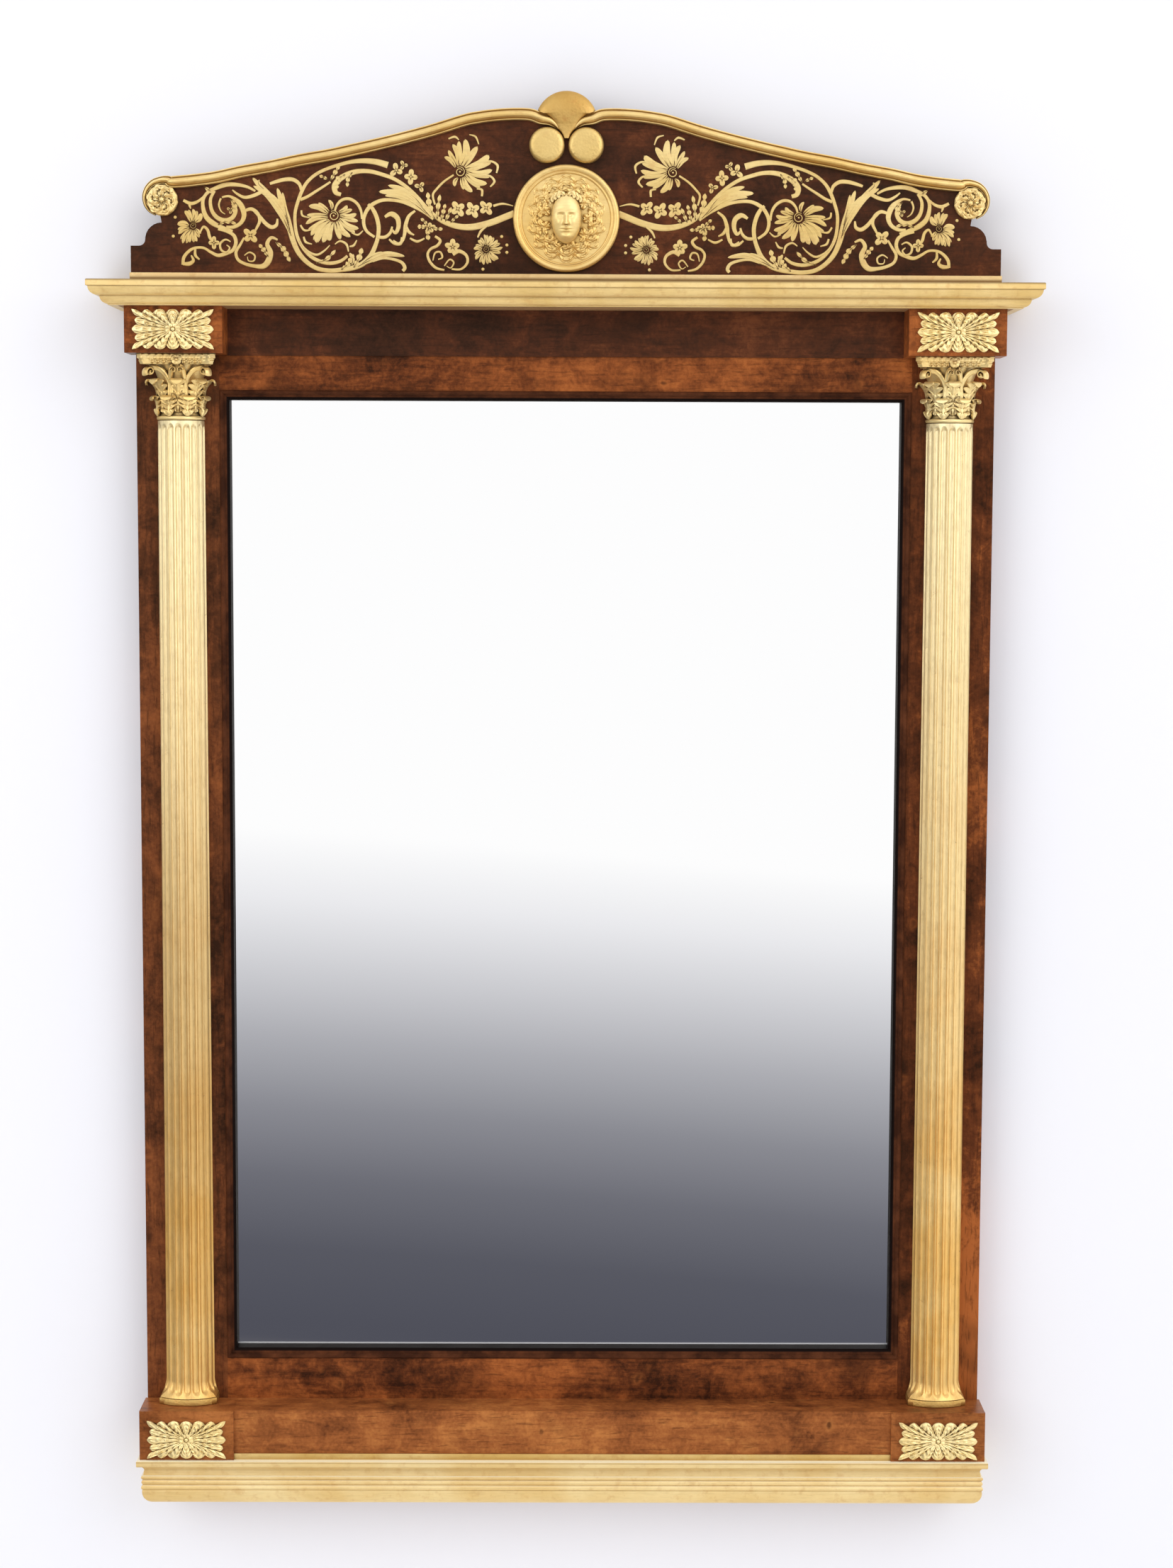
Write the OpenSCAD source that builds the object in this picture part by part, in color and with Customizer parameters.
// Wall mirror in an architectural gilt frame: fluted half columns with leaf capitals carry a moulded cornice and
// a scroll-topped pediment with a medallion, over a veneered base and a stepped moulding.
// The front faces -Y and the wall plane is y = 0. Heights are built up from the underside, and the whole is then
// lowered so that the origin lies on the wall plane, centred, level with the pivots of the hanging rings.

/* [Mirror plate] */
// Width of the glass that shows
sight_w = 650; // [600:1:720]
// Height of the glass that shows
sight_h = 938; // [860:1:1050]
// Thickness of the mirror plate
glass_t = 4; // [3:0.5:5]
// How far the plate runs behind the slips
glass_lap = 6; // [4:0.5:7]
// Face width of the slips round the glass
slip_w = 9; // [8:0.5:12]
// How far the slips stand proud of the carcase
slip_proud = 2; // [1:0.5:4]
// Depth of the slips in front of the glass
slip_d = 16; // [13:0.5:18]
// Leg of the triangular blocks behind the glass
glaze_leg = 8; // [6:0.5:8.5]
// Length of those blocks
glaze_l = 60; // [40:1:90]
// Thickness of the backboard
back_t = 6; // [4:0.5:7]
// How deep the backboard sits inside the back plane
back_inset = 2; // [1.6:0.1:3]
// Width of the rebate that the backboard is let into
rebate_w = 12; // [10:0.5:16]

/* [Carcase] */
// Thickness of stiles and rails
carcase_t = 38; // [36:1:46]
// Width of the stiles
stile_w = 80; // [76:1:92]
// Veneered band above the top slip
band_top = 33; // [30:1:44]
// Veneered band below the bottom slip
band_bottom = 41; // [34:1:52]
// Length of the rails' tenons
tenon_l = 35; // [28:1:38]
// Thickness of the tenons
tenon_t = 11; // [8:0.5:12]
// Shoulder above and below each tenon
tenon_shoulder = 12; // [10:1:16]

/* [Base] */
// Height of the base moulding
base_h = 47; // [42:1:50]
// Projection of the base moulding's lip in front of its core
base_proj = 26; // [23:0.5:30]
// How far that lip stands out past the base blocks' face and the carcase's side
base_lip_over = 5; // [3:0.5:7]
// Height of the gilt strip under the base board
strip_h = 6; // [4:0.5:9]
// Height of the base blocks
base_block_h = 49; // [44:1:58]
// Width of the base blocks
base_block_w = 92.5; // [86:0.5:98]
// How far the base blocks overhang the carcase's side
base_block_over = 2; // [0.5:0.5:4]
// Depth of the base and frieze blocks in front of the carcase
block_d = 44; // [41:1:50]
// How far the base board stays behind the blocks
board_back = 4; // [2:0.5:8]
// How far the gilt strip stays behind the blocks
strip_back = 2; // [0.5:0.5:4]

/* [Frieze and cornice] */
// Height of the frieze
frieze_h = 44; // [42:1:56]
// Width of the frieze blocks
frieze_block_w = 93; // [86:0.5:98]
// How far the frieze blocks overhang the carcase's side
frieze_block_over = 4.5; // [3:0.5:6]
// Thickness of the frieze board
frieze_board_t = 2.5; // [1.5:0.5:4]
// Height of the cornice
cornice_h = 20; // [19:0.5:24]
// How far the cornice's lip rises above its core
cornice_rise = 3; // [2:0.5:5]
// Projection of the cornice moulding in front of its core
cornice_proj = 26; // [22:0.5:30]
// How far the cornice core overhangs the blocks in front
core_over = 2; // [1:0.5:4]
// How far the cornice core overhangs the carcase's side
core_side = 10; // [7:0.5:12]

/* [Columns] */
// Distance of each column's axis from the carcase's side
column_in = 43; // [41:0.5:46]
// Diameter of the shaft at the foot
shaft_d_foot = 48; // [44:0.5:52]
// Diameter of the shaft at the neck
shaft_d_neck = 45; // [41:0.5:46]
// Height of the flare at the foot of the shaft
flare_h = 17; // [12:0.5:24]
// How far the flare spreads beyond the shaft
flare_out = 4; // [2:0.5:5]
// Radius of the flutes
flute_r = 3.6; // [2.8:0.1:4]
// Depth of the flutes
flute_depth = 1.8; // [1:0.1:2.2]
// Angle between flutes
flute_step = 20; // [18:0.5:20.5]
// Height of the foot plinth
foot_h = 7; // [6:0.5:12]
// How far the foot plinth stands out past the flare
foot_over = 0.5; // [0:0.25:2]
// How far the middle of the plinth's front bows out past its corners
foot_bow = 8.5; // [4:0.5:12]
// Height of the capital
cap_h = 63; // [56:1:72]
// Width across the abacus
abacus_w = 77; // [72:0.5:80]
// Height of the abacus
abacus_h = 10; // [8:0.5:12]
// Radius of the capital's corner volutes
volute_r = 6.5; // [5:0.25:7.5]

/* [Brass plaques] */
// Width of a plaque
plaque_w = 78; // [70:0.5:84]
// Height of a plaque
plaque_h = 38; // [34:0.5:40]
// Thickness of a plaque's ground
plaque_t = 2.4; // [1.6:0.1:3]
// Relief of its leaves above the ground
leaf_relief = 1.6; // [1:0.1:2.4]
// Gap under the plaques on the base blocks
plaque_low = 2; // [1:0.5:6]
// Radius of the plaque pins
pin_r = 0.8; // [0.6:0.05:1.1]
// Distance of the pins from a plaque's centre
pin_u = 14; // [12.5:0.5:15.5]

/* [Pediment] */
// Thickness of the panel
ped_t = 20; // [17:0.5:22]
// How far the panel overhangs the carcase's side
ped_over = 4; // [2:0.5:7]
// Height of the panel's straight side
ped_side_h = 40; // [34:1:44]
// Ledge at the top of that side
ped_ledge = 8; // [6:0.5:10]
// Radius of the hollow above the ledge
cove_r = 6; // [4:0.5:7]
// Radius of the round above the hollow
round_r = 16; // [13:0.5:18]
// Height of the gilt fillet at the panel's foot
fillet_h = 14; // [11:0.5:17]
// Thickness of that fillet
fillet_t = 8; // [4:0.5:12]
// Width of the raking moulding
rake_w = 11.3; // [9:0.1:12.5]
// Depth of the raking moulding
rake_d = 10; // [7:0.5:13]
// Distance of the corner rosettes from the panel's side
rosette_in = 31; // [29:0.5:34]
// Height of the corner rosettes above the cornice
rosette_v = 83; // [80:0.5:88]
// Radius of the corner rosettes
rosette_r = 15; // [12:0.5:16]
// Radius of the volute discs beside the crest
disc_r = 17; // [14:0.5:18]
// Half the gap between the two discs
disc_gap = 1.7; // [1.2:0.1:3]
// Height of the discs above the cornice
disc_v = 136; // [128:1:150]
// Radius of the crest shell
crest_r = 30; // [27:0.5:33]
// Height of the shell's centre above the discs
crest_rise = 21; // [19:0.5:24]
// Depth of the shell
crest_d = 11; // [8:0.5:14]
// Height of the medallion's centre above the cornice
medal_v = 67; // [66.5:0.5:69]
// Radius of the medallion
medal_r = 51; // [46:0.5:51]
// Depth of the medallion's rim
medal_rim = 6; // [4:0.5:8]
// Half width of the medallion's mask
mask_u = 14.5; // [12:0.5:16]
// Half height of the mask
mask_v = 24; // [20:0.5:26]
// Relief of the mask above the medallion's field
mask_relief = 11; // [7:0.5:14]
// How far the gilt scrolls stand above the panel
inlay_t = 0.4; // [0.3:0.1:0.8]
// Width of the main scroll stems
stem_w = 4.4; // [3:0.1:5]
// Height of the scrolls' top above the cornice
scroll_h = 120; // [112:1:122]
// Distance of the battens from the middle
batten_u = 150; // [140:1:165]
// Width of the battens
batten_w = 50; // [40:1:60]
// Height of the battens above the cornice
batten_up = 100; // [85:1:105]

/* [Hanging rings] */
// Depth of the ring pivots below the cornice
hang_drop = 42; // [42:1:60]
// Distance of the hangers from the carcase's side
hang_in = 36; // [32:0.5:40]
// Depth of the pocket in the stile
pocket_d = 9; // [8.6:0.1:10]
// Thickness of the strap
strap_t = 1.6; // [1.2:0.1:2]
// Width of the strap
strap_w = 18; // [14:0.5:20]
// Length of the strap below the pivot
strap_l = 60; // [54:1:64]
// Radius of the ring's wire
wire_r = 2; // [1.6:0.1:2.2]
// Clearance between the wire and the strap's barrel
wire_gap = 0.1; // [0.05:0.05:0.2]
// Radius of the ring's round end
ring_r = 13.5; // [12:0.5:15]
// Length of the ring's straight sides
ring_side = 14; // [10:0.5:18]

/* [Hidden] */
$fn = 48;

gilt = "#cfa955";
gilt_pale = "#dcc07a";
gilt_dark = "#a98239";
burr = "#7a4226";
veneer = "#3f2118";
ebonised = "#261813";
deal = "#b48d5c";
oak = "#9a7344";
brass = "#c79f45";
iron = "#4b4845";
silvered = "#c6ced4";

// Clearance of tenons in their mortises and of other wood in wood
fit_gap = 0.1;
// Clearance of screws and pins in their holes
screw_gap = 0.1;
eps = 0.5;

// Half widths
half_in = sight_w / 2 + slip_w;
half_out = half_in + stile_w;
column_u = half_out - column_in;
base_core_u = half_out + base_lip_over - base_proj;
cornice_core_u = half_out + core_side;
ped_u = half_out + ped_over;

// Heights above the underside
z_block = base_h + base_block_h;
z_low = z_block + band_bottom;
z_sight = z_low + slip_w;
z_sight_top = z_sight + sight_h;
z_high = z_sight_top + slip_w;
z_frieze = z_high + band_top;
z_cornice = z_frieze + frieze_h;
z_ped = z_cornice + cornice_h;
z_shaft = z_block + foot_h;
shaft_h = z_frieze - cap_h - z_shaft;
hang_z = z_cornice - hang_drop;

// Depths in front of the wall plane
slip_back = carcase_t + slip_proud - slip_d;
glass_back = slip_back - glass_t;
block_front = carcase_t + block_d;
base_core_d = block_front + base_lip_over - base_proj;
cornice_core_d = block_front + core_over;
rebate_d = back_t + back_inset;
batten_t = carcase_t - ped_t;
strap_face = pocket_d - strap_t;
ring_y = (pocket_d + 0.2) / 2;

// Screw sizes
screw_r = 1.8;
screw_head_r = 3.6;
screw_head_h = 1.6;
round_head_r = 3.8;
round_head_h = 1.5;
back_screw_l = 16;
hanger_screw_l = 18;
batten_screw_l = batten_t + 12;

// Module of the curves: smooth line through the points of P, with n steps between two of them
function cr(a, b, c, d, t) =
    0.5 * (2 * b + (c - a) * t + (2 * a - 5 * b + 4 * c - d) * t * t + (3 * b - a - 3 * c + d) * t * t * t);
function spline(P, n) = concat(
    [for (i = [0 : len(P) - 2], j = [0 : n - 1])
        cr(P[max(i - 1, 0)], P[i], P[i + 1], P[min(i + 2, len(P) - 1)], j / n)],
    [P[len(P) - 1]]);
// Unit normal on the right-hand side of the line at point i
function normal_at(P, i) =
    let (a = P[max(i - 1, 0)], b = P[min(i + 1, len(P) - 1)], d = [b[0] - a[0], b[1] - a[1]])
    [d[1], -d[0]] / norm(d);
function side_points(P, k) = [for (i = [0 : len(P) - 1]) [P[i][0], P[i][1]] + normal_at(P, i) * P[i][2] * k];
function reversed(L) = [for (i = [len(L) - 1 : -1 : 0]) L[i]];
function ribbon(P) = concat(side_points(P, 0.5), reversed(side_points(P, -0.5)));
// Stem through P whose width swells from w0 at its ends to w1 in its middle
function swelling(P, n, w0, w1) =
    let (S = spline(P, n), m = len(S) - 1)
    [for (i = [0 : m]) [S[i][0], S[i][1], w0 + (w1 - w0) * sin(180 * (0.12 + 0.8 * i / m))]];
function arc(cx, cy, r, a0, a1, n) = [for (i = [0 : n]) let (a = a0 + (a1 - a0) * i / n) [cx + r * cos(a), cy + r * sin(a)]];
function flipped(L) = [for (p = L) [-p[0], p[1]]];

// Drawing planes. facing: (x, z) shapes standing d0 off the wall, t thick towards the front.
module facing(d0, t) {
    translate([0, -d0, 0]) rotate([90, 0, 0]) linear_extrude(t) children();
}
// (depth, z) profiles run along X, centred, l long
module along_x(l) {
    mirror([0, 1, 0]) rotate([90, 0, 90]) translate([0, 0, -l / 2]) linear_extrude(l) children();
}
// (x, z) profiles run from the wall plane to the front, l deep
module along_y(l) {
    rotate([90, 0, 0]) linear_extrude(l) children();
}
// Box between half widths, depths and heights
module block(x0, x1, d0, d1, z0, z1) {
    translate([x0, -d1, z0]) cube([x1 - x0, d1 - d0, z1 - z0]);
}
module hung() {
    translate([0, 0, -hang_z]) children();
}
module side(s) {
    if (s < 0) mirror([1, 0, 0]) children();
    else children();
}

// Screws and pins point to the front from the plane that their head sits in
module countersunk(l) {
    rotate([90, 0, 0]) {
        difference() {
            cylinder(h = screw_head_h, r1 = screw_head_r, r2 = screw_r);
            translate([-screw_head_r, -0.4, -0.1]) cube([2 * screw_head_r, 0.8, 0.7]);
        }
        translate([0, 0, screw_head_h]) cylinder(h = l - screw_head_h - 3, r = screw_r);
        translate([0, 0, l - 3]) cylinder(h = 3, r1 = screw_r, r2 = 0.3);
    }
}
module countersunk_hole(l) {
    rotate([90, 0, 0]) {
        translate([0, 0, -0.1])
            cylinder(h = screw_head_h + 0.1, r1 = screw_head_r + 2 * screw_gap, r2 = screw_r + screw_gap);
        cylinder(h = l + eps, r = screw_r + screw_gap);
    }
}
module round_head(l) {
    rotate([90, 0, 0]) {
        translate([0, 0, -round_head_h]) difference() {
            cylinder(h = round_head_h, r1 = round_head_r - 1, r2 = round_head_r);
            translate([-round_head_r, -0.4, -0.1]) cube([2 * round_head_r, 0.8, 0.7]);
        }
        cylinder(h = l - 3, r = screw_r);
        translate([0, 0, l - 3]) cylinder(h = 3, r1 = screw_r, r2 = 0.3);
    }
}
module plain_hole(l) {
    rotate([90, 0, 0]) translate([0, 0, -0.1]) cylinder(h = l + eps + 0.1, r = screw_r + screw_gap);
}

// Places of the backboard screws, the batten screws and the hanger screws
back_side_z = [for (i = [-1 : 1]) (z_low + z_high) / 2 + i * sight_h * 0.34];
back_rail_u = [-half_in * 0.66, half_in * 0.66];
back_u = half_in + rebate_w / 2;
batten_foot = z_high + rebate_w + 6;
batten_z = [batten_foot + 12, z_cornice - 12, z_ped + 25, z_ped + batten_up - 14];
hanger_screw_z = [hang_z - strap_l * 0.38, hang_z - strap_l * 0.82];

module back_screw_places() {
    for (s = [-1, 1], z = back_side_z) translate([s * back_u, -back_inset, z]) children();
    for (u = back_rail_u, z = [z_low - rebate_w / 2, z_high + rebate_w / 2])
        translate([u, -back_inset, z]) children();
}
module batten_screw_places() {
    for (s = [-1, 1], z = batten_z) translate([s * batten_u, 0, z]) children();
}
module hanger_screw_places() {
    for (s = [-1, 1], z = hanger_screw_z) translate([s * (half_out - hang_in), -strap_face, z]) children();
}

// Carcase
module stile(s) {
    color(veneer) hung() difference() {
        side(s) difference() {
            block(half_in, half_out, 0, carcase_t, base_h, z_cornice);
            // Rebate for the backboard
            block(half_in - eps, half_in + rebate_w, -eps, rebate_d, z_low - rebate_w, z_high + rebate_w);
            // Mortises
            mortise(base_h, z_low);
            mortise(z_high, z_cornice);
            // Pocket for the hanger, with room for its ring above and below
            block(half_out - hang_in - pocket_w / 2, half_out - hang_in + pocket_w / 2, -eps, pocket_d,
                hang_z - strap_l - 4, hang_z + ring_reach + 4);
        }
        hanger_screw_places() plain_hole(hanger_screw_l);
        back_screw_places() plain_hole(back_screw_l);
    }
}
module mortise(z0, z1) {
    block(half_in - eps, half_in + tenon_l + 1, (carcase_t - tenon_t) / 2 - fit_gap,
        (carcase_t + tenon_t) / 2 + fit_gap, z0 + tenon_shoulder - fit_gap, z1 - tenon_shoulder + fit_gap);
}
module rail_body(z0, z1) {
    block(-half_in, half_in, 0, carcase_t, z0, z1);
    for (s = [-1, 1]) side(s)
        block(half_in - eps, half_in + tenon_l, (carcase_t - tenon_t) / 2, (carcase_t + tenon_t) / 2,
            z0 + tenon_shoulder, z1 - tenon_shoulder);
}
module rail_top() {
    color(burr) hung() difference() {
        rail_body(z_high, z_cornice);
        block(-half_in, half_in, -eps, rebate_d, z_high - eps, z_high + rebate_w);
        batten_notches();
        back_screw_places() plain_hole(back_screw_l);
        batten_screw_places() plain_hole(batten_screw_l);
    }
}
module rail_bottom() {
    color(burr) hung() difference() {
        rail_body(base_h, z_low);
        block(-half_in, half_in, -eps, rebate_d, z_low - rebate_w, z_low + eps);
        back_screw_places() plain_hole(back_screw_l);
    }
}
module batten_notches() {
    for (s = [-1, 1]) side(s)
        block(batten_u - batten_w / 2 - fit_gap, batten_u + batten_w / 2 + fit_gap, -eps, batten_t + fit_gap,
            batten_foot - fit_gap, z_ped + eps);
}
module base_core() {
    color(deal) hung() block(-base_core_u, base_core_u, 0, base_core_d, 0, base_h);
}
module cornice_core() {
    color(deal) hung() difference() {
        block(-cornice_core_u, cornice_core_u, 0, cornice_core_d, z_cornice, z_ped);
        batten_notches();
    }
}

// Slips round the glass: (distance from the sight edge, depth) profile
slip_profile = [[0, slip_back], [0, slip_back + slip_d - 7], [0.8, slip_back + slip_d - 6],
    [slip_w * 0.5, slip_back + slip_d - 4.4], [slip_w * 0.6, slip_back + slip_d - 1.6],
    [slip_w * 0.72, slip_back + slip_d - 0.4], [slip_w * 0.86, slip_back + slip_d],
    [slip_w, slip_back + slip_d - 0.8], [slip_w, slip_back]];
module slip_level(z0, up) {
    color(ebonised) hung() intersection() {
        translate([0, 0, z0]) along_x(2 * half_in)
            polygon([for (p = slip_profile) [p[1], up * p[0]]]);
        facing(0, 2 * carcase_t)
            polygon([[-half_in, z0 + up * slip_w], [half_in, z0 + up * slip_w],
                [half_in - slip_w, z0], [-half_in + slip_w, z0]]);
    }
}
module slip_upright(s) {
    color(ebonised) hung() side(s) intersection() {
        translate([0, 0, z_low]) linear_extrude(z_high - z_low)
            polygon([for (p = slip_profile) [sight_w / 2 + p[0], -p[1]]]);
        facing(0, 2 * carcase_t)
            polygon([[half_in, z_low], [half_in, z_high], [half_in - slip_w, z_sight_top],
                [half_in - slip_w, z_sight]]);
    }
}
module mirror_plate() {
    color(silvered) hung()
        block(-sight_w / 2 - glass_lap, sight_w / 2 + glass_lap, glass_back, slip_back,
            z_sight - glass_lap, z_sight_top + glass_lap);
}
module glazing_blocks() {
    color(deal) hung() {
        for (s = [-1, 1], i = [-1 : 1]) side(s)
            translate([0, 0, (z_low + z_high) / 2 + i * sight_h * 0.4 - glaze_l / 2]) linear_extrude(glaze_l)
                polygon([[half_in, -glass_back], [half_in - glaze_leg, -glass_back], [half_in, -glass_back + glaze_leg]]);
        for (u = [-sight_w * 0.28, sight_w * 0.28], e = [[z_low, 1], [z_high, -1]])
            translate([u, 0, e[0]]) along_x(glaze_l)
                polygon([[glass_back, 0], [glass_back, e[1] * glaze_leg], [glass_back - glaze_leg, 0]]);
    }
}
module backboard() {
    color(oak) hung() difference() {
        block(-half_in - rebate_w + eps, half_in + rebate_w - eps, back_inset, rebate_d,
            z_low - rebate_w + eps, z_high + rebate_w - eps);
        back_screw_places() plain_hole(back_screw_l);
    }
}
module backboard_screws() {
    color(iron) hung() back_screw_places() round_head(back_screw_l);
}

// Frieze, base board and blocks
module frieze_board() {
    u = half_out + frieze_block_over - frieze_block_w;
    color(veneer) hung() block(-u, u, carcase_t, carcase_t + frieze_board_t, z_frieze, z_cornice);
}
module frieze_block(s) {
    u = half_out + frieze_block_over;
    color(burr) hung() difference() {
        side(s) block(u - frieze_block_w, u, carcase_t, block_front, z_frieze, z_cornice);
        plaque_pin_places() pin_hole();
    }
}
module base_board() {
    u = half_out + base_block_over - base_block_w;
    color(burr) hung() block(-u, u, carcase_t, block_front - board_back, base_h + strip_h, z_block);
}
module base_strip() {
    u = half_out + base_block_over - base_block_w;
    color(gilt) hung() block(-u, u, carcase_t, block_front - strip_back, base_h, base_h + strip_h);
}
module base_block(s) {
    u = half_out + base_block_over;
    color(burr) hung() difference() {
        side(s) block(u - base_block_w, u, carcase_t, block_front, base_h, z_block);
        plaque_pin_places() pin_hole();
    }
}

// Base moulding: (projection, height) profile from the top lip down to the inset foot
base_lip = 6;
foot_round = base_h - 32.4;
base_profile = concat(
    [[0, base_h], [base_proj - 0.6, base_h], [base_proj, base_h - 0.6], [base_proj, base_h - base_lip + 0.6],
        [base_proj - 0.6, base_h - base_lip], [base_proj - 4, base_h - base_lip]],
    arc(base_proj - 4, base_h - base_lip - 5, 3, 150, 200, 3),
    [[base_proj - 6.1, base_h - 16], [base_proj - 4.9, base_h - 16.4], [base_proj - 4.1, base_h - 17.8],
        [base_proj - 4.9, base_h - 19.2], [base_proj - 5.9, base_h - 19.6]],
    arc(base_proj - 7.1, base_h - 22.7, 2.6, 60, -60, 4),
    arc(base_proj - 6.7, base_h - 28, 2.6, 60, -60, 4),
    arc(base_proj - 4.9 - foot_round, base_h - 32.1, foot_round, 2, -78, 9),
    [[3, 0], [0, 0]]);
module base_moulding_front() {
    color(gilt) hung() intersection() {
        along_x(2 * (base_core_u + base_proj)) polygon([for (p = base_profile) [base_core_d + p[0], p[1]]]);
        translate([0, 0, -1]) linear_extrude(base_h + 2) polygon([
            [-base_core_u, -base_core_d], [base_core_u, -base_core_d],
            [base_core_u + base_proj + 1, -base_core_d - base_proj - 1],
            [-base_core_u - base_proj - 1, -base_core_d - base_proj - 1]]);
    }
}
module base_return(s) {
    color(gilt) hung() side(s) intersection() {
        along_y(base_core_d + base_proj) polygon([for (p = base_profile) [base_core_u + p[0], p[1]]]);
        translate([0, 0, -1]) linear_extrude(base_h + 2) polygon([
            [base_core_u, 1], [base_core_u, -base_core_d],
            [base_core_u + base_proj + 1, -base_core_d - base_proj - 1], [base_core_u + base_proj + 1, 1]]);
    }
}

// Cornice: (projection, height) profile from the bottom fillet up to the top fillet
c0 = cornice_proj - 18;
cornice_profile = concat(
    [[0, 0], [c0, 0], [c0, 0.8]],
    arc(c0, 7.6, 6.6, -86, -6, 6),
    [[c0 + 6.6, 8.2], [c0 + 7.8, 8.5]],
    arc(cornice_proj - 9.4, 16.2, 7.6, -88, -4, 6),
    [[cornice_proj - 1.8, 16.6], [cornice_proj - 0.4, 16.8], [cornice_proj, 17.2],
        [cornice_proj, cornice_h + cornice_rise - 0.8], [cornice_proj - 0.8, cornice_h + cornice_rise],
        [cornice_proj - 4, cornice_h + cornice_rise], [cornice_proj - 8, cornice_h], [0, cornice_h]]);
module cornice_front() {
    color(gilt) hung() intersection() {
        translate([0, 0, z_cornice]) along_x(2 * (cornice_core_u + cornice_proj))
            polygon([for (p = cornice_profile) [cornice_core_d + p[0], p[1]]]);
        translate([0, 0, z_cornice - 1]) linear_extrude(cornice_h + cornice_rise + 2) polygon([
            [-cornice_core_u, -cornice_core_d], [cornice_core_u, -cornice_core_d],
            [cornice_core_u + cornice_proj + 1, -cornice_core_d - cornice_proj - 1],
            [-cornice_core_u - cornice_proj - 1, -cornice_core_d - cornice_proj - 1]]);
    }
}
module cornice_return(s) {
    color(gilt) hung() side(s) intersection() {
        translate([0, 0, z_cornice]) along_y(cornice_core_d + cornice_proj)
            polygon([for (p = cornice_profile) [cornice_core_u + p[0], p[1]]]);
        translate([0, 0, z_cornice - 1]) linear_extrude(cornice_h + cornice_rise + 2) polygon([
            [cornice_core_u, 1], [cornice_core_u, -cornice_core_d],
            [cornice_core_u + cornice_proj + 1, -cornice_core_d - cornice_proj - 1],
            [cornice_core_u + cornice_proj + 1, 1]]);
    }
}

// Columns: each half round stands on the carcase's face
module at_column(z) {
    translate([column_u, -carcase_t, z]) children();
}
module front_half(w, h) {
    intersection() {
        children();
        translate([-w, -w, -1]) cube([2 * w, w, h + 2]);
    }
}
// Flutes on either side of the one in the middle of the front
flutes_side = 4;
module column_shaft(s) {
    rf = shaft_d_foot / 2;
    rn = shaft_d_neck / 2;
    tilt = atan((rf - rn) / (shaft_h - flare_h));
    flute_z = flare_h * 0.4;
    flute_l = shaft_h - flute_z - 7;
    color(gilt_pale) hung() side(s) at_column(z_shaft) front_half(shaft_d_foot, shaft_h) difference() {
        rotate_extrude() polygon(concat([[0, 0]],
            [for (i = [0 : 5]) [rf + flare_out * pow(1 - i / 5, 2), flare_h * i / 5]],
            [[rn, shaft_h], [0, shaft_h]]));
        for (k = [-flutes_side : flutes_side]) rotate([0, 0, -90 + k * flute_step])
            translate([rf + flute_r - flute_depth, 0, flute_z]) rotate([0, -tilt, 0])
                cylinder(h = flute_l, r = flute_r);
    }
}
module column_foot(s) {
    half = shaft_d_foot / 2 + flare_out + foot_over;
    bow_r = (half * half + foot_bow * foot_bow) / (2 * foot_bow);
    color(gilt) hung() side(s) at_column(z_block) intersection() {
        translate([-half, -half - 1, 0]) cube([2 * half, half + 1, foot_h]);
        translate([0, bow_r - half, 0]) cylinder(h = foot_h, r = bow_r);
    }
}
// Leaf of a capital: a slice of the turned leaf profile, a0 from the front, wide degrees across
module turned_leaf(a0, wide, r0, r1, z0, z1) {
    rotate([0, 0, -90 + a0 - wide / 2]) rotate_extrude(angle = wide) polygon([
        [r0 - 5, z0], [r0 + 1.4, z0], [r0 + 1.8, z0 + (z1 - z0) * 0.5], [r0 + (r1 - r0) * 0.45, z0 + (z1 - z0) * 0.78],
        [r1, z0 + (z1 - z0) * 0.9], [r1 + 0.4, z1 - 1.6], [r1 - 1.6, z1], [r0 + (r1 - r0) * 0.3, z1 - 0.4],
        [r0 - 5, z0 + (z1 - z0) * 0.8]]);
}
module rod_between(a, b, r) {
    d = b - a;
    translate(a) rotate([0, acos(d[2] / norm(d)), atan2(d[1], d[0])]) cylinder(h = norm(d), r = r);
}
module abacus(half, z0, h) {
    dip = half * 0.16;
    r = (pow(half * 0.88, 2) + dip * dip) / (2 * dip);
    difference() {
        translate([-half, -half, z0]) cube([2 * half, half + 1, h]);
        translate([0, -half - r + dip, z0 - 1]) cylinder(h = h + 2, r = r);
        for (s = [-1, 1]) translate([s * (half + r - dip), 0, z0 - 1]) cylinder(h = h + 2, r = r);
    }
}
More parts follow.
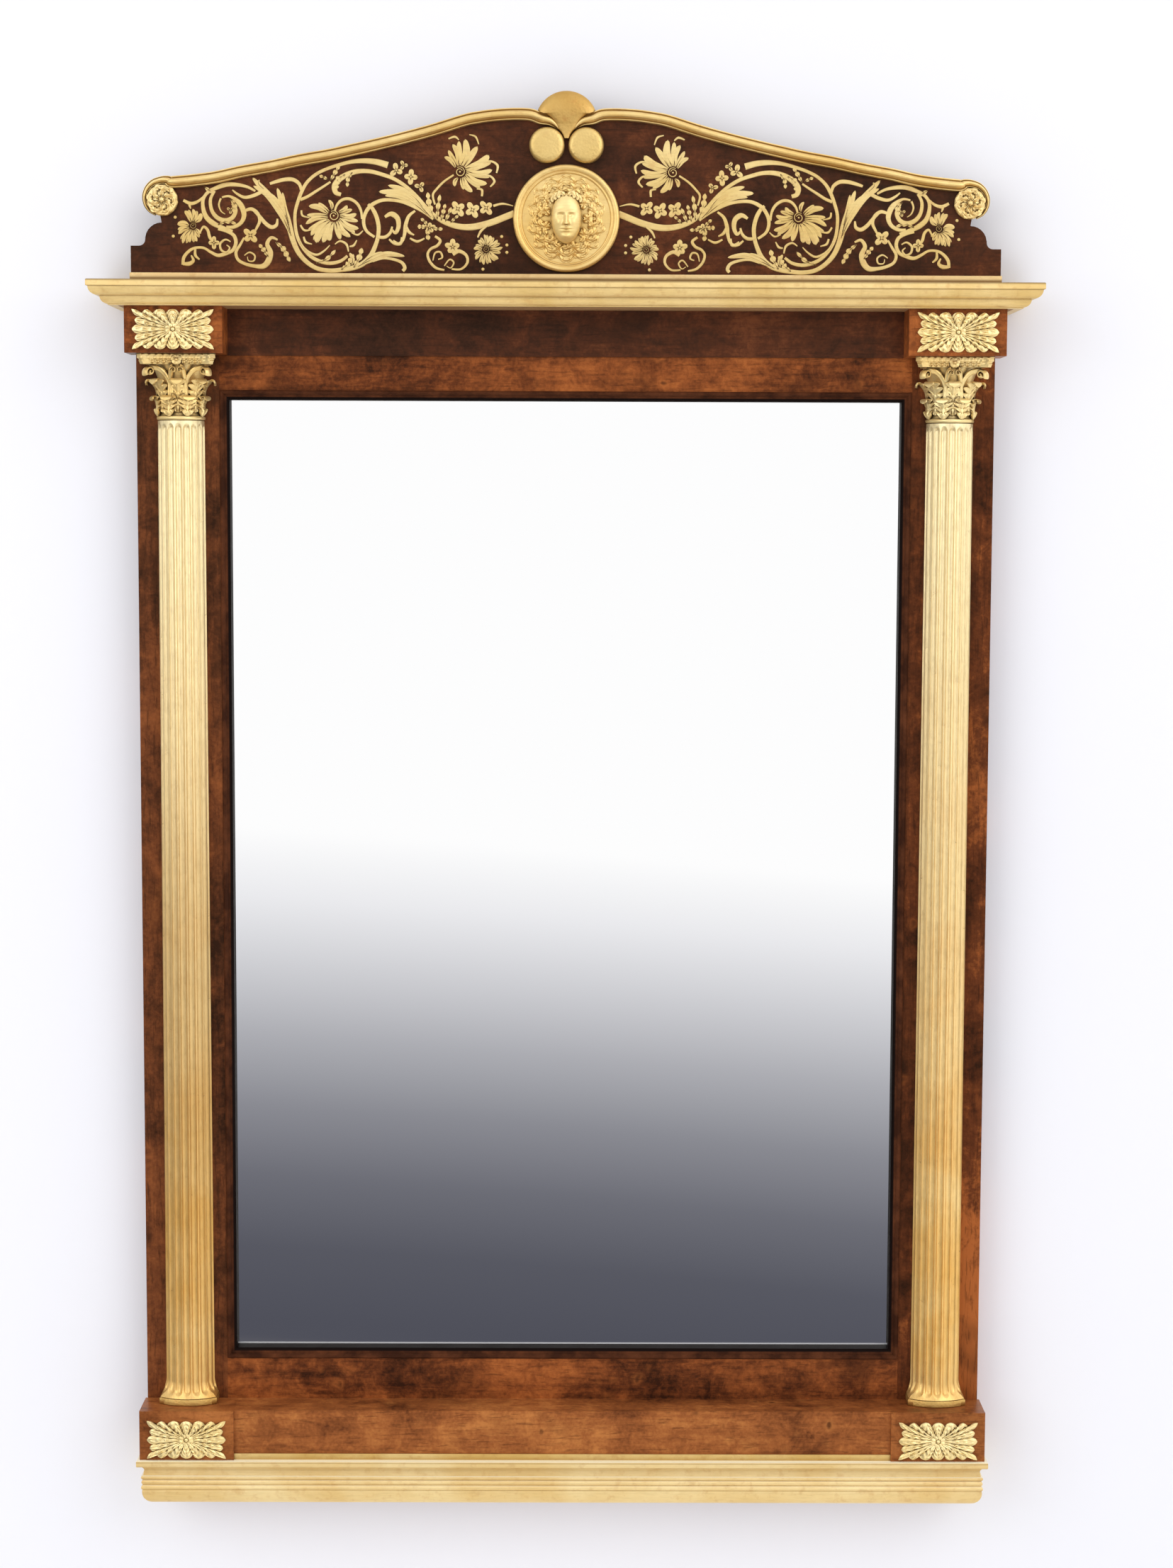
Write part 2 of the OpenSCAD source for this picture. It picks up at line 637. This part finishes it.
module capital(s) {
    neck = shaft_d_neck / 2;
    bell_top = cap_h - abacus_h;
    tier = (cap_h - abacus_h - 7) / 46;
    reach = abacus_w / 2 - volute_r - 3.6;
    color(gilt) hung() side(s) at_column(z_frieze - cap_h) front_half(abacus_w, cap_h) {
        rotate_extrude() polygon(concat([[0, 0], [neck - 0.6, 0]], arc(neck - 1.6, 3.4, 2.4, -60, 60, 6),
            [[neck - 2.6, 6], [neck - 3, 14], [neck - 1.6, bell_top * 0.72], [neck + 3.4, bell_top - 2],
                [neck + 4.4, bell_top + 1], [0, bell_top + 1]]));
        for (a = [-67.5 : 45 : 67.5]) turned_leaf(a, 36, neck - 2, neck + 3.4, 7, 7 + 15 * tier);
        for (a = [-45 : 45 : 45]) turned_leaf(a, 30, neck - 1.6, neck + 8.6, 9, 7 + 31 * tier);
        for (k = [-1, 1]) {
            translate([k * reach, -reach, bell_top - volute_r + 0.6]) rotate([0, 90, k * 45])
                cylinder(h = 9, r = volute_r, center = true);
            rod_between([k * neck * 0.6, -neck * 0.6, 7 + 20 * tier], [k * reach, -reach, bell_top - volute_r], 3.2);
        }
        abacus(abacus_w / 2 - 3, bell_top, abacus_h * 0.4 + 0.2);
        abacus(abacus_w / 2, cap_h - abacus_h * 0.6, abacus_h * 0.6);
        translate([0, -abacus_w * 0.415, cap_h - abacus_h * 0.62]) sphere(r = abacus_h * 0.52);
    }
}

// Brass plaques: scalloped ground, eight leaves and a rosette
function scallop(w, h, n, m, dip) = concat(
    [for (i = [0 : 4 * n - 1]) [w - 2 * w * i / (4 * n), h - dip * abs(cos(45 * i))]],
    [for (i = [0 : 4 * m - 1]) [-w + dip * abs(cos(45 * i)), h - 2 * h * i / (4 * m)]],
    [for (i = [0 : 4 * n - 1]) [-w + 2 * w * i / (4 * n), -h + dip * abs(cos(45 * i))]],
    [for (i = [0 : 4 * m - 1]) [w - dip * abs(cos(45 * i)), -h + 2 * h * i / (4 * m)]]);
function leaf_shape(l, w) = concat(
    [for (i = [0 : 10]) [l * i / 10, w * pow(sin(180 * pow(i / 10, 0.8)), 0.8) * (1 - 0.12 * (i % 2))]],
    [for (i = [9 : -1 : 1]) [l * i / 10, -w * pow(sin(180 * pow(i / 10, 0.8)), 0.8) * (1 - 0.12 * (i % 2))]]);
module plaque(u, z) {
    hw = plaque_w / 2;
    hh = plaque_h / 2;
    corner = atan2(hh, hw);
    diagonal = norm([hw, hh]) - 3;
    color(brass) hung() difference() {
        translate([u, 0, z]) {
            facing(block_front, plaque_t) polygon(scallop(hw, hh, 12, 6, 1.1));
            facing(block_front + plaque_t - 0.2, leaf_relief + 0.2) {
                for (a = [corner, 180 - corner, 180 + corner, -corner])
                    rotate(a) translate([8, 0]) polygon(leaf_shape(diagonal - 8, 4.2));
                for (a = [0, 180]) rotate(a) translate([17, 0]) polygon(leaf_shape(hw - 18, 4));
                for (a = [90, -90]) rotate(a) translate([5, 0]) polygon(leaf_shape(hh - 6, 4));
            }
            facing(block_front + plaque_t - 0.2, leaf_relief + 1) {
                circle(r = 3);
                for (a = [0 : 45 : 315]) rotate(a + 22.5) translate([5, 0]) circle(r = 1.8);
            }
        }
        plaque_pin_places() pin_hole();
    }
}
frieze_plaque_u = half_out + frieze_block_over - frieze_block_w / 2;
base_plaque_u = half_out + base_block_over - base_block_w / 2;
frieze_plaque_z = z_frieze + frieze_h / 2;
base_plaque_z = base_h + plaque_low + plaque_h / 2;
module plaque_pin_places() {
    for (s = [-1, 1], k = [-1, 1]) {
        translate([s * frieze_plaque_u + k * pin_u, -block_front - plaque_t, frieze_plaque_z]) children();
        translate([s * base_plaque_u + k * pin_u, -block_front - plaque_t, base_plaque_z]) children();
    }
}
module pin_hole() {
    rotate([-90, 0, 0]) translate([0, 0, -3]) cylinder(h = plaque_t + 11, r = pin_r + screw_gap / 2);
}
module plaque_pins() {
    color(brass) hung() plaque_pin_places() rotate([-90, 0, 0]) {
        cylinder(h = plaque_t + 7, r = pin_r);
        translate([0, 0, -0.7]) cylinder(h = 0.7, r1 = pin_r, r2 = pin_r + 0.4);
    }
}

// Pediment outline. The raking line runs from the spiral over the corner rosette to the curl over the volute disc.
rosette_u = ped_u - rosette_in;
disc_u = disc_r + disc_gap;
crest_v = disc_v + crest_rise;
rake_low = [rosette_u - rosette_r * 5 / 6, rosette_v + rosette_r + rake_w / 6];
rake_high = [disc_u + disc_r * 0.32, disc_v + disc_r + rake_w * 0.71];
// Clearance between the moulding's spiral and the rosette
spiral_gap = 0.1;
// Points of the raking line, as drawn between its two ends
RAKE = [[339, 104], [311, 110], [283, 115], [255, 121], [227, 126], [204, 131], [186, 135], [157, 142],
    [127, 150], [98, 159], [83, 162], [68, 164], [53, 165], [39, 165], [32, 164]];
function on_rake(p) = [
    rake_high[0] + (p[0] - 24) * (rake_low[0] - rake_high[0]) / 350,
    rake_low[1] + (p[1] - 100) * (rake_high[1] - rake_low[1]) / 61];
rake_points = concat(
    [for (a = [-66 : 26 : 90]) let (w = rake_w * (0.11 + 0.53 * (a + 66) / 156), r = rosette_r + spiral_gap + w / 2)
        [rosette_u + r * cos(a), rosette_v + r * sin(a), w]],
    [[rosette_u - rosette_r * 0.4, rosette_v + rosette_r + rake_w * 0.31, rake_w * 0.76],
        [rake_low[0], rake_low[1], rake_w]],
    [for (p = RAKE) concat(on_rake(p), [rake_w])],
    [[rake_high[0], rake_high[1], rake_w]],
    [for (c = [[95, 0.57, 0.86], [108, 0.41, 0.66], [119, 0.26, 0.42], [128, 0.12, 0.16]])
        [disc_u + (disc_r + rake_w * c[1]) * cos(c[0]), disc_v + (disc_r + rake_w * c[1]) * sin(c[0]), rake_w * c[2]]]);
rake_line = spline(rake_points, 3);
module raking_moulding(s) {
    color(gilt) hung() side(s) difference() {
        translate([0, 0, z_ped]) {
            facing(carcase_t, rake_d * 0.7) polygon(ribbon(rake_line));
            facing(carcase_t + rake_d * 0.68, rake_d * 0.32)
                polygon(ribbon([for (p = rake_line) [p[0], p[1], p[2] * 0.62]]));
        }
        // Coped to the rosette that it turns round
        on_panel(rosette_u, rosette_v) translate([0, 0, -1]) cylinder(h = rake_d + 2, r = rosette_r + spiral_gap);
    }
}
panel_half = concat(
    [[ped_u, 0], [ped_u, ped_side_h], [ped_u - ped_ledge, ped_side_h]],
    arc(ped_u - ped_ledge, ped_side_h + cove_r, cove_r, -90, -180, 5),
    arc(ped_u - ped_ledge - cove_r - round_r, ped_side_h + cove_r, round_r, 6, 90, 6),
    arc(rosette_u, rosette_v, rosette_r - 1, -80, 70, 8),
    [for (p = concat([[rake_low[0], rake_low[1]]], [for (q = RAKE) if (q[0] > 34) on_rake(q)])) p + [0, rake_w * 0.34]],
    arc(0, crest_v, crest_r - 2, 18, 86, 8));
module pediment_panel() {
    color(veneer) hung() difference() {
        translate([0, 0, z_ped]) facing(carcase_t - ped_t, ped_t)
            polygon(concat(panel_half, reversed(flipped(panel_half))));
        batten_screw_places() plain_hole(batten_screw_l);
    }
}
module pediment_fillet() {
    color(gilt) hung() block(-ped_u, ped_u, carcase_t, carcase_t + fillet_t, z_ped, z_ped + fillet_h);
}
module on_panel(u, v) {
    translate([u, -carcase_t, z_ped + v]) rotate([90, 0, 0]) children();
}
module corner_rosette(s) {
    r = rosette_r;
    color(gilt) hung() side(s) on_panel(rosette_u, rosette_v) {
        rotate_extrude() polygon([[0, 0], [r, 0], [r, 5.6], [r - 1, 6.6], [r - 2.6, 6.4], [r - 4, 5], [0, 5]]);
        for (a = [0 : 45 : 315]) rotate([0, 0, a]) translate([r * 0.42, 0, 4.6])
            linear_extrude(2.4) circle(r = r * 0.2);
        translate([0, 0, 4.8]) cylinder(h = 4, r1 = r * 0.26, r2 = r * 0.16);
    }
}
module volute_disc(s) {
    r = disc_r;
    color(gilt_pale) hung() side(s) on_panel(disc_u, disc_v)
        rotate_extrude() polygon([[0, 0], [r, 0], [r, 8.6], [r - 1.2, 10], [r - 2.4, 10], [r - 3, 9.2], [0, 9.2]]);
}
// The shell's edge keeps clear of the curls and the discs below it
shell_gap = 0.3;
curl_edge = [for (p = side_points(rake_line, 0.5 + 0.02)) if (p[0] < crest_r * 0.86 && p[1] > disc_v + disc_r * 0.6) p];
shell_half = concat(
    arc(0, crest_v, crest_r, 87, 24, 14),
    [for (p = curl_edge) p + [0, shell_gap]],
    arc(disc_u, disc_v, disc_r + shell_gap, 138, 160, 4));
module crest_shell() {
    dome = 90;
    color(gilt_dark) hung() translate([0, 0, z_ped]) intersection() {
        facing(carcase_t, crest_d) polygon(concat(shell_half, reversed(flipped(shell_half))));
        translate([0, -carcase_t - crest_d + dome, crest_v - 4]) sphere(r = dome, $fn = 200);
    }
}

// Medallion: turned rim and field, ring of leaves, and a mask in high relief
module medallion_disc() {
    r = medal_r;
    ring_in = mask_v + 3;
    color(gilt) hung() on_panel(0, medal_v) {
        rotate_extrude() polygon([[0, 0], [r, 0], [r, medal_rim - 1], [r - 1, medal_rim], [r - 3.4, medal_rim],
            [r - 4.2, medal_rim - 1.4], [r - 5.4, medal_rim - 1.4], [r - 6.2, medal_rim - 0.2],
            [r - 7.4, medal_rim - 0.2], [r - 8.6, medal_rim - 2.4], [0, medal_rim - 2.4]]);
        for (a = [0 : 18 : 342]) rotate([0, 0, a]) translate([ring_in, 0, medal_rim - 2.6])
            linear_extrude(2.6) polygon(leaf_shape(r - 9.4 - ring_in, 3));
    }
}
// Height of the mask over its oval, at x and y from -1 to 1
function bump(x, y, cx, cy, sx, sy) = exp(-pow((x - cx) / sx, 2) - pow((y - cy) / sy, 2));
function twin(x, y, cx, cy, sx, sy) = bump(abs(x), y, cx, cy, sx, sy);
function nose_ridge(x, y) = y > -0.27 && y < 0.3 ? exp(-pow(x / (0.1 + 0.12 * (0.3 - y)), 2)) * (0.3 - y) / 0.57 : 0;
function mask_z(x, y) =
    let (q = max(0, 1 - x * x - y * y))
    0.80 * pow(q, 0.42)
    + pow(q, 0.3) * (0.10 * twin(x, y, 0.30, 0.24, 0.30, 0.07) - 0.17 * twin(x, y, 0.37, 0.08, 0.20, 0.09)
        + 0.12 * twin(x, y, 0.37, 0.06, 0.12, 0.05) + 0.34 * nose_ridge(x, y)
        + 0.09 * twin(x, y, 0.15, -0.22, 0.09, 0.05) + 0.08 * twin(x, y, 0.52, -0.16, 0.2, 0.16)
        + 0.09 * bump(x, y, 0, -0.40, 0.26, 0.035) - 0.07 * bump(x, y, 0, -0.455, 0.32, 0.022)
        + 0.10 * bump(x, y, 0, -0.51, 0.20, 0.04) - 0.05 * bump(x, y, 0, -0.60, 0.25, 0.05)
        + 0.14 * bump(x, y, 0, -0.73, 0.26, 0.10));
mask_rings = 20;
mask_sides = 52;
mask_points = concat(
    [[0, 0, mask_relief * mask_z(0, 0)]],
    [for (i = [1 : mask_rings], j = [0 : mask_sides - 1])
        let (f = pow(i / mask_rings, 0.85), a = 360 * j / mask_sides, x = f * cos(a), y = f * sin(a))
        [mask_u * x, mask_v * y, i == mask_rings ? 0 : mask_relief * mask_z(x, y)]],
    [[0, 0, -1]],
    [for (j = [0 : mask_sides - 1]) let (a = 360 * j / mask_sides) [mask_u * cos(a), mask_v * sin(a), -1]]);
function ring_index(i, j) = 1 + (i - 1) * mask_sides + j % mask_sides;
mask_base = 1 + mask_rings * mask_sides;
mask_faces = concat(
    [for (j = [0 : mask_sides - 1]) [0, ring_index(1, j + 1), ring_index(1, j)]],
    [for (i = [1 : mask_rings - 1], j = [0 : mask_sides - 1])
        [ring_index(i, j), ring_index(i, j + 1), ring_index(i + 1, j + 1)]],
    [for (i = [1 : mask_rings - 1], j = [0 : mask_sides - 1])
        [ring_index(i, j), ring_index(i + 1, j + 1), ring_index(i + 1, j)]],
    [for (j = [0 : mask_sides - 1]) [ring_index(mask_rings, j), ring_index(mask_rings, j + 1),
        mask_base + 1 + (j + 1) % mask_sides]],
    [for (j = [0 : mask_sides - 1]) [ring_index(mask_rings, j), mask_base + 1 + (j + 1) % mask_sides,
        mask_base + 1 + j]],
    [for (j = [0 : mask_sides - 1]) [mask_base, mask_base + 1 + j, mask_base + 1 + (j + 1) % mask_sides]]);
module medallion_mask() {
    color(gilt) hung() on_panel(0, medal_v) translate([0, 0, medal_rim - 1.4])
        polyhedron(points = mask_points, faces = mask_faces, convexity = 4);
}

// Gilt scrolls on the panel, drawn for the right half: stems through hand-set points and small flowers
function on_panel_u(u) = medal_r + (u - 51) * (ped_u - medal_r) / 367;
function on_panel_v(v) = v * scroll_h / 120;
function laid(P) = [for (p = P) [on_panel_u(p[0]), on_panel_v(p[1])]];
STEM_MAIN = [[53, 73], [75, 63], [98, 56], [116, 63], [129, 74], [146, 89], [171, 102], [192, 109], [211, 104], [219, 94]];
STEM_SCROLL = [[145, 103], [157, 111], [177, 118], [199, 120], [227, 114], [247, 102], [256, 89], [259, 68],
    [256, 44], [244, 28], [227, 20], [205, 21], [190, 31], [181, 47], [180, 65], [189, 78], [202, 84]];
STEM_DAISY = [[96, 110], [104, 98], [116, 91], [131, 86]];
STEM_TENDRIL = [[110, 74], [92, 77], [77, 77], [58, 79]];
STEM_LOWER = [[196, 26], [180, 23], [164, 27], [156, 25], [155, 19]];
STEM_BOTTOM = [[254, 42], [272, 39], [306, 35], [336, 28], [359, 28]];
STEM_SPIRAL = [[300, 44], [304, 62], [307, 83], [319, 95], [335, 93], [345, 81], [342, 67], [331, 61], [321, 67], [323, 76]];
STEM_BUD = [[262, 54], [272, 66], [283, 82], [296, 97]];
INLAY_STEMS = [[STEM_MAIN, 1], [STEM_SCROLL, 1], [STEM_DAISY, 0.5], [STEM_TENDRIL, 0.5], [STEM_LOWER, 0.8],
    [STEM_BOTTOM, 0.6], [STEM_SPIRAL, 0.8], [STEM_BUD, 0.7]];
INLAY_FLOWERS = [[221, 68, 19, 7], [95, 114, 10, 8], [76, 38, 11, 6], [364, 56, 11, 6], [130, 40, 7, 5], [300, 56, 7, 5]];
module inlay_flower(u, v, r, n) {
    translate([on_panel_u(u), on_panel_v(v)])
        polygon([for (i = [0 : 8 * n - 1]) let (a = 45 * i / n)
            on_panel_v(r) * (0.42 + 0.58 * pow(abs(cos(n * a / 2)), 0.8)) * [cos(a + 12), sin(a + 12)]]);
}
module scroll_inlay(s) {
    color(gilt_pale) hung() side(s) translate([0, 0, z_ped]) facing(carcase_t, inlay_t) {
        for (e = INLAY_STEMS) polygon(ribbon(swelling(laid(e[0]), 4, stem_w * e[1] * 0.4, stem_w * e[1])));
        for (f = INLAY_FLOWERS) inlay_flower(f[0], f[1], f[2], f[3]);
    }
}

// Battens behind the pediment
module pediment_batten(s) {
    color(deal) hung() difference() {
        side(s) block(batten_u - batten_w / 2, batten_u + batten_w / 2, 0, batten_t, batten_foot, z_ped + batten_up);
        batten_screw_places() countersunk_hole(batten_screw_l);
    }
}
module batten_screws() {
    color(iron) hung() batten_screw_places() countersunk(batten_screw_l);
}

// Hangers: a strap with a rolled barrel, let into the back of each stile, and a D-shaped ring
barrel_r = wire_r + wire_gap + 1.2;
barrel_l = strap_w;
corner_r = ring_r - barrel_l / 2 - 0.5;
ring_reach = corner_r + ring_side + ring_r + wire_r;
pocket_w = 2 * (ring_r + wire_r) + 8;
module at_hanger(s) {
    side(s) translate([half_out - hang_in, -ring_y, hang_z]) children();
}
module strap_hanger(s) {
    color(brass) hung() difference() {
        union() {
            at_hanger(s) rotate([0, 90, 0]) cylinder(h = barrel_l, r = barrel_r, center = true);
            side(s) block(half_out - hang_in - strap_w / 2, half_out - hang_in + strap_w / 2, strap_face, pocket_d,
                hang_z - strap_l, hang_z + barrel_r);
            side(s) block(half_out - hang_in - barrel_l / 2, half_out - hang_in + barrel_l / 2, ring_y, pocket_d,
                hang_z - barrel_r, hang_z + barrel_r);
        }
        at_hanger(s) rotate([0, 90, 0]) cylinder(h = barrel_l + 2, r = wire_r + wire_gap, center = true);
        hanger_screw_places() countersunk_hole(hanger_screw_l);
    }
}
module hanging_ring(s) {
    color(brass) hung() at_hanger(s) {
        rotate([0, 90, 0]) cylinder(h = 2 * (ring_r - corner_r), r = wire_r, center = true);
        for (k = [-1, 1]) {
            translate([k * ring_r, 0, -corner_r - ring_side]) cylinder(h = ring_side, r = wire_r);
            translate([k * (ring_r - corner_r), 0, -corner_r]) rotate([90, 0, 0])
                rotate([0, 0, k < 0 ? 90 : 0]) rotate_extrude(angle = 90) translate([corner_r, 0]) circle(r = wire_r);
        }
        translate([0, 0, -corner_r - ring_side]) rotate([90, 0, 0]) rotate([0, 0, 180])
            rotate_extrude(angle = 180) translate([ring_r, 0]) circle(r = wire_r);
    }
}
module hanger_screws() {
    color(iron) hung() hanger_screw_places() countersunk(hanger_screw_l);
}

stile(-1);  // stile_left
stile(1);  // stile_right
rail_top();
rail_bottom();
base_core();
cornice_core();
slip_level(z_sight_top, 1);  // slip_top
slip_level(z_sight, -1);  // slip_bottom
slip_upright(-1);  // slip_left
slip_upright(1);  // slip_right
mirror_plate();
glazing_blocks();
backboard();
backboard_screws();
frieze_board();
frieze_block(-1);  // frieze_block_left
frieze_block(1);  // frieze_block_right
base_board();
base_strip();
base_block(-1);  // base_block_left
base_block(1);  // base_block_right
base_moulding_front();
base_return(-1);  // base_return_left
base_return(1);  // base_return_right
cornice_front();
cornice_return(-1);  // cornice_return_left
cornice_return(1);  // cornice_return_right
column_shaft(-1);  // column_left
column_shaft(1);  // column_right
capital(-1);  // capital_left
capital(1);  // capital_right
column_foot(-1);  // column_foot_left
column_foot(1);  // column_foot_right
plaque(-frieze_plaque_u, frieze_plaque_z);  // plaque_top_left
plaque(frieze_plaque_u, frieze_plaque_z);  // plaque_top_right
plaque(-base_plaque_u, base_plaque_z);  // plaque_base_left
plaque(base_plaque_u, base_plaque_z);  // plaque_base_right
plaque_pins();
pediment_panel();
pediment_fillet();
raking_moulding(-1);  // raking_moulding_left
raking_moulding(1);  // raking_moulding_right
corner_rosette(-1);  // corner_rosette_left
corner_rosette(1);  // corner_rosette_right
volute_disc(-1);  // volute_disc_left
volute_disc(1);  // volute_disc_right
crest_shell();
medallion_disc();
medallion_mask();
scroll_inlay(-1);  // scroll_inlay_left
scroll_inlay(1);  // scroll_inlay_right
pediment_batten(-1);  // pediment_batten_left
pediment_batten(1);  // pediment_batten_right
batten_screws();
strap_hanger(-1);  // strap_hanger_left
strap_hanger(1);  // strap_hanger_right
hanging_ring(-1);  // hanging_ring_left
hanging_ring(1);  // hanging_ring_right
hanger_screws();
